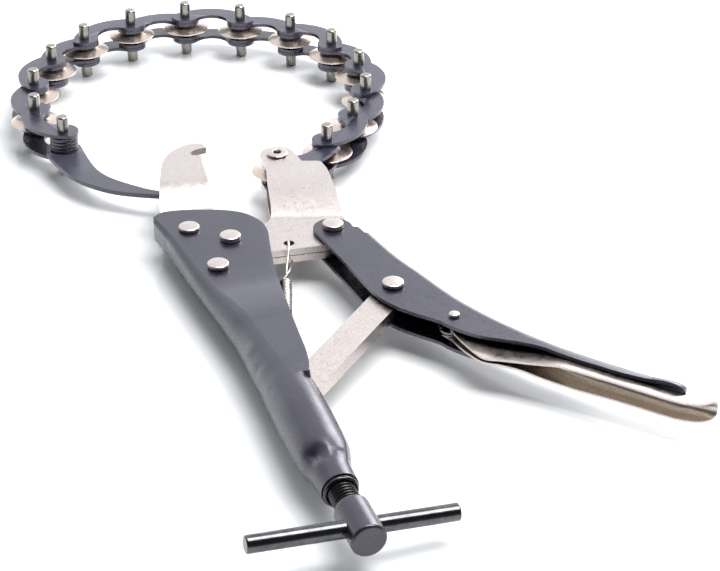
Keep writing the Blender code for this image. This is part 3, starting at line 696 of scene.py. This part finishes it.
def half_section(row):
    """The upper half of a channel's section, from its upper edge round to its back's middle.

    row holds the left and right limits, the half height, the back corner's radius and the right
    corner's radius where the channel closes into a tube, or 0 where it is open.
    """
    left, right, half, back_radius, radius = row
    corner = left + back_radius
    if radius:
        path = arc((right - radius, half - radius), radius, SEAM, 90, 12) + [(corner, half)]
        back = arc((corner, half - back_radius), back_radius, 90, 180, 30) + [(left, 0.0)]
        points = spaced(path, 0.0, path_length(path), FLAT)
        return points + spaced(back, 0.0, path_length(back), BACK)[1:]
    if right >= corner:
        path = [(right, half)] + arc((corner, half - back_radius), back_radius, 90, 180, 30)
    else:
        first = math.degrees(math.acos(max((right - corner) / back_radius, -1.0)))
        path = arc((corner, half - back_radius), back_radius, first, 180, 30)
    path.append((left, 0.0))
    total = path_length(path)
    back = min(math.pi / 2 * back_radius + half - back_radius, 0.7 * total)
    points = spaced(path, 0.0, total - back, FLAT)
    return points + spaced(path, total - back, total, BACK)[1:]


def right_wall(row):
    """Where a channel is closed, its lower sheet goes on up the right to a seam by the upper edge."""
    _, right, half, _, radius = row
    centre = right - radius
    low = arc((centre, radius - half), radius, -SEAM, 0, 4)[1:]
    return low + arc((centre, half - radius), radius, 0, SEAM - 3.0, WALL - 5)


def dented(obj, dents):
    """Push the surface near each place along a vector, fading out over a radius."""
    for vert in obj.data.vertices:
        for place, radius, push in dents:
            distance = (vert.co - Vector(place)).length
            vert.co += Vector(push) * math.exp(-((distance / radius) ** 2))


def lofted(name, rows, thickness, open_back=(), dents=(), materials=(), painted_inner_face=False):
    """Loft half sections (and their mirror images) along rows of (origin, across, row)."""
    verts, faces = [], []
    for (x, y), (ax, ay), row in rows:
        half = half_section(row)
        section = half + [(u, -v) for u, v in reversed(half[:-1])]
        section += right_wall(row) if row[4] else [section[-1]] * WALL
        verts += [(x + u * ax, y + u * ay, v) for u, v in section]
    sheet = 2 * (FLAT + BACK)
    width = sheet + 1 + WALL
    for r in range(len(rows) - 1):
        both_closed = rows[r][2][4] and rows[r + 1][2][4]
        for c in range(width - 1):
            if c >= sheet and not both_closed:
                continue
            if r in open_back and FLAT <= c < sheet - FLAT:
                continue
            a = r * width + c
            faces.append((a, a + 1, a + 1 + width, a + width))
    mesh = bpy.data.meshes.new(name)
    mesh.from_pydata(verts, [], faces)
    obj = tidy(link_object(name, mesh), 0.01)
    edit = bmesh.new()
    edit.from_mesh(obj.data)
    loose = [v for v in edit.verts if not v.link_faces]
    bmesh.ops.delete(edit, geom=loose, context="VERTS")
    edit.to_mesh(obj.data)
    edit.free()
    dented(obj, dents)
    solid = obj.modifiers.new("sheet", "SOLIDIFY")
    solid.thickness = thickness
    solid.offset = 0.0
    solid.use_even_offset = True
    # the inner face can take the second material, the nickel copy with painted light
    solid.material_offset = 1 if painted_inner_face else 0
    return tidy(applied(coat(obj, *materials)), 0.002)


def handle_rows():
    """Rows down the fixed handle, each y, left, right, half height and whether it is closed."""
    closed = [
        (0.0, -6.4, 6.4, 6.4), (4.0, -6.6, 6.6, 6.5), (8.5, -6.9, 7.0, 6.9), (11.5, -7.3, 7.9, 7.5),
        (14.5, -7.9, 8.8, 8.4), (18.0, -8.3, 9.6, 9.1), (24.0, -8.5, 10.0, 9.6), (32.0, -8.5, 10.4, 9.8),
        (43.0, -8.3, 10.7, 10.0), (56.0, -7.8, 10.8, 9.7),
    ]
    opened = [
        (57.0, -7.8, 8.2, 9.65), (60.0, -7.6, 9.2, 9.5), (64.0, -7.4, 10.3, 9.3), (71.4, -7.3, 11.6, 9.0),
        (81.7, -7.2, 12.8, 8.5),
        (94.5, -7.0, 14.3, 7.9), (105.0, -7.6, 15.7, 7.5), (116.0, -8.5, 17.2, 6.6), (126.0, -9.3, 18.6, 5.6),
        (134.0, -9.9, 19.8, 5.2), (142.0, -10.5, 21.3, 5.05),
        (153.0, -11.1, 23.6, FLANGE), (162.3, -11.6, 25.8, FLANGE), (167.3, -11.8, 26.3, FLANGE),
        (173.0, -12.1, 25.8, FLANGE), (177.8, -12.7, 23.7, FLANGE), (180.4, -13.0, 22.1, FLANGE),
        (182.6, -13.3, 20.2, FLANGE), (185.0, -13.6, 17.0, FLANGE), (187.2, -13.8, 13.3, FLANGE),
        (188.6, -13.7, 9.2, FLANGE), (190.2, -13.1, 4.3, FLANGE), (191.4, -11.9, 0.0, FLANGE),
        (192.2, -10.4, -3.6, FLANGE), (192.6, -8.8, -5.9, FLANGE),
    ]
    return [(*row, True) for row in smooth(closed, 6)] + [(*row, False) for row in smooth(opened, 6)]


# Crimp marks behind the mouth, and a pinched fold in the spine
HANDLE_DENTS = (
    ((-5.4, 13.2, 7.6), 3.3, (1.2, 0.0, -2.4)),
    ((-1.2, 9.4, 7.4), 1.5, (0.0, 0.0, -0.8)),
    ((3.4, 11.4, 8.2), 1.3, (0.0, 0.0, -0.8)),
    ((5.8, 13.0, 7.6), 1.4, (0.4, 0.0, 0.5)),
    ((-8.2, 71.3, 5.0), 1.9, (2.2, 0.0, -1.4)),
    ((-7.4, 75.2, 6.4), 1.3, (-0.5, 0.0, 0.6)),
    ((-7.0, 83.0, 5.8), 2.4, (-0.35, 0.0, 0.3)),
)


def fixed_handle():
    """A sheet channel, open to the right in front and rolled into a seamed tube behind."""
    inset = SHEET / 2
    rows, bare = [], []
    for i, (y, left, right, half, closed) in enumerate(handle_rows()):
        mid = half - inset
        fade = min(max((y - 118.0) / 68.0, 0.0), 1.0)
        fade_out = min(max((y - 186.0) / 3.5, 0.0), 1.0)
        back_radius = max(mid * (0.95 - 0.72 * fade) * (1.0 - fade_out), 0.02)
        right_edge = right - inset if closed else right
        row = (left + inset, right_edge, mid, back_radius, mid * 0.9 if closed else 0.0)
        rows.append(((0.0, y), (1.0, 0.0), row))
        if y > 189.5:
            bare.append(i)
    body = lofted("fixed_handle_look", rows, SHEET, bare, HANDLE_DENTS)
    body = coat(bevelled(body, 0.3, 2, 45), HANDLE)
    shown(body, "fixed_handle", ["fixed_handle"])


# The lever's back on the plan, from its pivot to its tail: x, y, half height, edge radius
LEVER_BACK = (
    (64.0, 151.0, 4.2, 1.9), (67.6, 131.0, 4.2, 2.2), (72.3, 113.5, 4.3, 2.3), (75.6, 101.5, 4.3, 2.5),
    (79.5, 89.5, 4.4, 2.8), (86.0, 74.5, 4.6, 3.1), (95.4, 57.0, 5.1, 3.8), (105.0, 43.5, 5.3, 4.6),
    (114.8, 31.4, 5.3, 4.8), (122.4, 22.4, 5.3, 4.9), (125.4, 19.0, 5.9, 5.3), (128.0, 16.2, 6.1, 5.3),
    (129.8, 14.2, 5.6, 4.6), (130.8, 13.2, 4.2, 3.4),
)
# and the free edge of its flanges, on the side towards the handle
LEVER_EDGE = (
    (43.9, 155.0), (46.7, 129.2), (49.2, 106.1), (52.9, 95.3), (58.4, 87.0), (64.6, 79.5), (67.1, 74.5),
    (71.0, 68.6), (74.6, 64.3), (80.4, 59.8), (86.2, 55.3), (91.7, 50.2), (96.3, 43.4), (101.0, 36.9),
    (106.0, 31.0), (110.8, 25.3), (121.1, 15.2), (126.5, 9.4), (128.4, 7.6),
)


def reach(start, direction, line):
    """How far along a direction from a start a polyline is met, or None."""
    best = None
    for a, b in zip(line, line[1:]):
        a, edge = Vector(a), Vector(b) - Vector(a)
        cross = direction.x * edge.y - direction.y * edge.x
        if abs(cross) < 1e-9:
            continue
        offset = a - start
        distance = (offset.x * edge.y - offset.y * edge.x) / cross
        share = (offset.x * direction.y - offset.y * direction.x) / cross
        if -0.001 <= share <= 1.001 and distance > 0 and (best is None or distance < best):
            best = distance
    return best


def along(path):
    """Each point of a plan path with the direction square to it, towards the handle."""
    result = []
    for i, point in enumerate(path):
        before, after = path[max(i - 1, 0)], path[min(i + 1, len(path) - 1)]
        direction = Vector((after[0] - before[0], after[1] - before[1])).normalized()
        result.append((Vector(point[:2]), Vector((direction.y, -direction.x)), point[2:]))
    return result


def lever_handle():
    """A channel whose back curves away outwards; flat eyes hold it to the jaw."""
    inset = SHEET / 2
    edge = smooth(LEVER_EDGE, 4)
    rows = []
    for place, across, (half, radius) in along(smooth(LEVER_BACK, 6)):
        width = reach(place, across, edge)
        if width is None:
            continue
        rows.append((tuple(place), tuple(across), (inset, width, half, radius, 0.0)))
    eye_rows = []
    for i in range(13):
        angle = math.radians(80 - 100 * i / 12)
        y = LEVER_PIVOT.y + 7.8 * math.sin(angle)
        half_width = math.sqrt(max(7.8**2 - (y - LEVER_PIVOT.y) ** 2, 0.2))
        left, right = LEVER_PIVOT.x - half_width, LEVER_PIVOT.x + half_width
        if i == 12:
            right = 60.6
        left = min(left, 44.0) if y < LEVER_PIVOT.y else left
        eye_rows.append(((right, y), (-1.0, 0.0), (0.0, right - left, 4.2, 0.02, 0.0)))
    bare = list(range(len(eye_rows)))
    body = lofted("lever_handle_look", eye_rows + rows, SHEET, bare)
    body = coat(bevelled(body, 0.3, 2, 45), HANDLE)
    shown(body, "lever", ["lever_handle"])


# The release lever's back, nested in the lever's, and the free edge of its flanges
RELEASE_BACK = (
    (77.8, 88.7, 1.9), (84.1, 73.6, 1.5), (89.1, 63.8, 0.9), (93.3, 55.7, 1.5), (98.2, 48.2, 2.9),
    (102.6, 41.6, 3.8), (112.3, 29.3, 3.7), (120.6, 18.9, 3.6), (127.0, 11.2, 3.6), (131.0, 7.9, 3.6),
    (134.6, 4.6, 3.7), (137.6, 1.6, 3.9), (139.2, -0.4, 4.2),
)
RELEASE_EDGE = (
    (68.0, 79.0), (69.0, 69.4), (70.6, 62.0), (72.9, 56.0), (77.7, 52.9), (83.4, 48.4), (88.7, 43.3),
    (94.1, 38.3), (99.1, 32.5), (109.1, 21.4), (118.6, 9.9), (123.5, 4.6), (126.5, 2.4), (129.6, 0.8),
    (133.3, 0.6), (136.5, 1.2), (138.0, 1.8),
)
RELEASE_SHEET = 0.9


def release_lever():
    """A slim channel nested in the lever's, whose round end flares out past it."""
    edge = smooth(RELEASE_EDGE, 4)
    rows = []
    for place, across, (half,) in along(smooth(RELEASE_BACK, 6)):
        width = reach(place, across, edge)
        if width is None:
            continue
        radius = max(half * 0.95, 0.3)
        rows.append((tuple(place), tuple(across), (0.6, width, half, radius, 0.0)))
    # the channel's inner face gets the nickel copy with painted light
    body = lofted("release_lever_look", rows, RELEASE_SHEET, materials=(NICKEL, NICKEL_PAINTED_LIGHT), painted_inner_face=True)
    body = bevelled(body, 0.2, 2, 45)
    shown(body, "release_lever", ["release_lever"])


def toggle_link():
    """The strut between the lever and the end of the adjusting screw."""
    seat = Vector((0.8, 53.4))
    turn = math.degrees(math.atan2(seat.y - TOGGLE_PIVOT.y, seat.x - TOGGLE_PIVOT.x))
    outline = arc(TOGGLE_PIVOT, 6.0, turn + 270, turn + 90, 18) + arc(seat, 6.0, turn + 90, turn - 90, 18)
    hole = arc(TOGGLE_PIVOT, 2.8, 0, 360, 32)[:-1]
    strut = coat(bevelled(prism("toggle_link_look", [outline, hole], -2.7, 2.7), 0.5, 3), NICKEL)
    shown(strut, "toggle_link", ["toggle_link"])


# ---------------------------------------------------------------- rivets
def rivet(name, body, shank, dome):
    """A rivet with a low domed head on each side, sized from its CAD node."""
    low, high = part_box(name)
    place = local((low + high) / 2).to_2d()
    top = (high.z - low.z) / 2 / MM
    head = (high.x - low.x) / 2 / MM
    base = top - dome
    half = [(0, top), (head * 0.4, top - 0.04), (head * 0.8, top - 0.16), (head * 0.9, top - 0.28)]
    half += [(head * 0.97, top - 0.5), (head, top - 0.75)]
    half += [(head, base + 0.1), (head - 0.12, base), (shank, base)]
    side = half + [(r, -z) for r, z in reversed(half)]
    obj = coat(turned(f"{name}_look", side, 48, 60), NICKEL)
    shown(obj, body, [name], place)


def rivets():
    rivet("front_rivet", "fixed_handle", 2.5, 1.7)
    rivet("rear_rivet", "fixed_handle", 2.5, 1.7)
    rivet("jaw_pivot_rivet", "fixed_handle", 2.5, 2.3)
    rivet("lever_pivot_rivet", "movable_jaw", 2.5, 2.3)
    rivet("toggle_rivet", "lever", 2.5, 1.7)
    rivet("release_rivet", "lever", 1.5, 0.9)
    face = 7.8
    half = [(1.5, face + 0.2), (1.7, face + 0.8), (2.1, face + 1.06), (2.6, face + 1.1), (3.6, face + 1.02)]
    half += [(4.2, face + 0.8), (4.4, face + 0.4), (4.35, face), (2.5, face)]
    side = half + [(r, -z) for r, z in reversed(half)] + half[:1]
    anchor = coat(turned("chain_anchor_rivet_look", side, 56, 60), NICKEL)
    place = node_centre("chain_anchor_rivet")
    shown(anchor, "movable_jaw", ["chain_anchor_rivet"], place)


# ---------------------------------------------------------------- adjusting screw
LAY = Matrix.Rotation(math.radians(-90), 4, "X")


def thread(start, end, radius, depth, pitch, sides=56, steps=10):
    """A screw thread about Z with rounded crests, closed at both ends."""
    count = int((end - start) / pitch * steps)
    verts, faces = [], []
    for i in range(count + 1):
        z = start + (end - start) * i / count
        for j in range(sides):
            phase = (z / pitch - j / sides) % 1.0
            crest = min(1.0, 1.15 * (1.0 - abs(2.0 * phase - 1.0)))
            r = radius - depth * (1.0 - crest)
            angle = 2 * math.pi * j / sides
            verts.append((r * math.cos(angle), r * math.sin(angle), z))
    for i in range(count):
        for j in range(sides):
            a, b = i * sides + j, i * sides + (j + 1) % sides
            faces.append((a, b, b + sides, a + sides))
    faces.append(tuple(reversed(range(sides))))
    faces.append(tuple(range(count * sides, (count + 1) * sides)))
    mesh = bpy.data.meshes.new("thread")
    mesh.from_pydata(verts, [], faces)
    obj = link_object("thread", mesh)
    obj.data.shade_smooth()
    obj.data.set_sharp_from_angle(angle=math.radians(50))
    return coat(obj, THREAD)


def adjusting_screw():
    hub = [(0, -9.4), (4.2, -9.4), (5.2, -10.0), (6.1, -11.6), (6.1, -27.9), (5.4, -28.6), (0, -28.6)]
    head = coat(turned("hub", rounded(hub, 0.5, 3), 64), HANDLE)
    rod = thread(-10.0, 39.8, 4.7, 0.8, 1.5)
    low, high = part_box("tommy_bar")
    place = local((low + high) / 2)
    screw = joined("adjusting_screw_look", [head, rod])
    screw.data.transform(LAY)
    shown(screw, "adjusting_screw", ["adjusting_screw"])
    width, height, r = (high.x - low.x) / MM, (high.z - low.z) / MM, 3.0
    tilt = math.atan2(height - 2 * r, width)
    half = (width - 2 * r * math.sin(tilt)) / math.cos(tilt) / 2
    side = [(0, half), (r - 0.4, half), (r, half - 0.4), (r, 0.4 - half), (r - 0.4, -half), (0, -half)]
    bar = coat(turned("tommy_bar_look", rounded(side, 0.2, 3), 48), OXIDE)
    turn = Matrix.Rotation(math.radians(90) + tilt, 4, "Y")
    bar.data.transform(Matrix.Translation((0.0, 0.0, place.z)) @ turn)
    shown(bar, "adjusting_screw", ["tommy_bar"], (place.x, place.y))


def mouth():
    side = [(5.0, -0.3), (5.85, -0.3), (6.1, -0.8), (5.9, -1.6), (5.4, -1.9), (5.0, -1.5)]
    ring = rounded(side, 0.3, 3, True)
    nut = coat(turned("end_nut_look", ring + ring[:1], 64), THREAD)
    nut.data.transform(LAY)
    shown(nut, "fixed_handle", ["end_nut"])
    tip = [(0, 43.4), (3.2, 43.4), (5.0, 42.6), (5.0, 40.3), (0, 40.3)]
    pad = coat(turned("screw_tip_look", rounded(tip, 0.4, 3), 48), PIN)
    pad.data.transform(LAY)
    shown(pad, "screw_pad", ["screw_tip"])


# ---------------------------------------------------------------- springs
def coil(start, end, radius, turns, steps=14):
    """Points of a helix from one place to another."""
    start, end = Vector(start), Vector(end)
    axis = (end - start).normalized()
    side = axis.cross(Vector((0, 0, 1))).normalized()
    up = side.cross(axis)
    points = []
    for i in range(turns * steps + 1):
        t = i / (turns * steps)
        angle = 2 * math.pi * i / steps
        points.append(start.lerp(end, t) + (side * math.cos(angle) + up * math.sin(angle)) * radius)
    return [tuple(p) for p in points]


def jaw_spring():
    """A tension spring: hooked through the movable jaw, coiled along the handle's edge."""
    x, y = SPRING_HOLE
    loop = [
        (x + 0.5, y - 3.4, -3.3), (x + 0.9, y - 1.6, -4.0), (x + 0.6, y + 0.6, -3.2), (x + 0.1, y + 0.9, 0.0),
        (x - 0.2, y + 0.5, 3.2), (x - 0.5, y - 0.9, 3.9), (x - 1.4, y - 3.9, 3.5), (x - 3.5, y - 9.5, 2.4),
        (26.0, 139.6, 1.7), (24.3, 134.2, 1.6),
    ]
    leg = [(x + 0.5, y - 3.4, -3.3), (x - 1.2, y - 7.0, -1.6), (x - 4.0, y - 14.5, 0.4), (25.4, 136.2, 0.9)]
    body = coil((23.0, 131.2, 0.0), (12.5, 97.4, 0.0), 1.9, 34)
    end = smooth([body[-1], (12.0, 95.6, 0.9), (10.6, 92.4, 0.2), (8.9, 88.4, 0.0)], 4)
    hook = wire("hook", smooth(leg, 6), 0.4, 3)
    spring = joined("jaw_spring_look", [wire("coil", smooth(loop, 6) + body + end[1:], 0.45, 3), hook])
    coat(spring, SPRING)
    spring.data.transform(Matrix.Translation(ORIGIN) @ Matrix.Scale(MM, 4))
    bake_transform(spring)
    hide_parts("jaw_spring")


def release_spring():
    """A torsion spring wound round the release lever's rivet, with a leg along each lever."""
    x, y = RELEASE_PIVOT
    turns, steps, radius = 2, 24, 3.6
    points = [(x + 1.0, y - 11.6, -3.2), (x - 1.2, y - 7.0, -2.2)]
    for i in range(steps * turns + 1):
        angle = math.radians(200 + 360 * i / steps)
        height = -1.2 + 2.4 * i / (steps * turns)
        points.append((x - 1.4 + radius * math.cos(angle), y + radius * math.sin(angle), height))
    points.append((x - 7.0, y + 10.0, 1.6))
    spring = coat(wire("release_spring_look", points, 0.4, 3), SPRING)
    shown(spring, "lever", ["release_spring"])


# ---------------------------------------------------------------- studio
def area_light(name, place, target, size, power, colour=(1.0, 1.0, 1.0), height=None):
    light = bpy.data.lights.new(name, "AREA")
    light.energy = power
    light.color = colour
    light.shape = "RECTANGLE"
    light.size = size
    light.size_y = height or size
    obj = bpy.data.objects.new(name, light)
    bpy.context.scene.collection.objects.link(obj)
    obj.location = place
    obj.rotation_euler = (Vector(target) - Vector(place)).to_track_quat("-Z", "Y").to_euler()
    return obj


def sky():
    """A light tent: bright behind the tool and dark on the camera's side."""
    world = bpy.data.worlds.new("studio")
    world.use_nodes = True
    tree = world.node_tree
    direction = tree.nodes.new("ShaderNodeTexCoord")
    split = tree.nodes.new("ShaderNodeSeparateXYZ")
    tree.links.new(direction.outputs["Generated"], split.inputs["Vector"])

    def faded(axis, start, end, low, high):
        node = tree.nodes.new("ShaderNodeMapRange")
        node.interpolation_type = "SMOOTHSTEP"
        for key, value in (("From Min", start), ("From Max", end), ("To Min", low), ("To Max", high)):
            node.inputs[key].default_value = value
        tree.links.new(split.outputs[axis], node.inputs["Value"])
        return node.outputs["Result"]

    def times(first, second):
        node = tree.nodes.new("ShaderNodeMath")
        node.operation = "MULTIPLY"
        tree.links.new(first, node.inputs[0])
        tree.links.new(second, node.inputs[1])
        return node.outputs["Value"]

    level = times(times(faded("Y", *SKY_DEPTH), faded("X", *SKY_LEFT)), faded("Z", *SKY_HEIGHT))
    background = tree.nodes["Background"]
    background.inputs["Color"].default_value = (0.94, 0.97, 1.0, 1.0)
    tree.links.new(level, background.inputs["Strength"])
    bpy.context.scene.world = world


SKY_DEPTH = (-0.2, 0.5, 0.09, 1.3)
SKY_LEFT = (-0.85, -0.15, 0.5, 1.0)
SKY_HEIGHT = (0.1, 0.45, 1.7, 0.95)


def studio():
    sky()
    mesh = bpy.data.meshes.new("floor")
    mesh.from_pydata([(-6, -6, 0), (6, -6, 0), (6, 6, 0), (-6, 6, 0)], [], [(0, 1, 2, 3)])
    floor = link_object("floor", mesh)
    material, shader = new_material("floor", (0.93, 0.94, 0.95), 0.0, 0.12)
    shader.inputs["Specular IOR Level"].default_value = 0.5
    wired(material, spread(material, noise(material, 3.0), 0.10, 0.16), shader.inputs["Roughness"])
    floor.data.materials.append(material)
    area_light("softbox", (0.30, -0.14, 1.0), (0.02, 0.1, 0.0), 0.5, 15.0, height=1.0)
    area_light("side", (0.9, 0.7, 0.6), (0.0, 0.1, 0.0), 0.7, 9.0)
    camera_data = bpy.data.cameras.new("camera")
    camera_data.lens = 100.0
    camera_data.sensor_width = 36.0
    camera_data.clip_start = 0.01
    camera = bpy.data.objects.new("camera", camera_data)
    bpy.context.scene.collection.objects.link(camera)
    camera.location = ORIGIN + Vector((-166.1, -493.6, 381.63)) * MM
    camera.rotation_euler = (math.radians(59.604), 0.0, math.radians(-19.3))
    bpy.context.scene.camera = camera
    bpy.context.scene.view_settings.view_transform = "Standard"


chain()
tail()
fixed_jaw()
movable_jaw()
fixed_handle()
lever_handle()
release_lever()
toggle_link()
rivets()
adjusting_screw()
mouth()
jaw_spring()
release_spring()
studio()
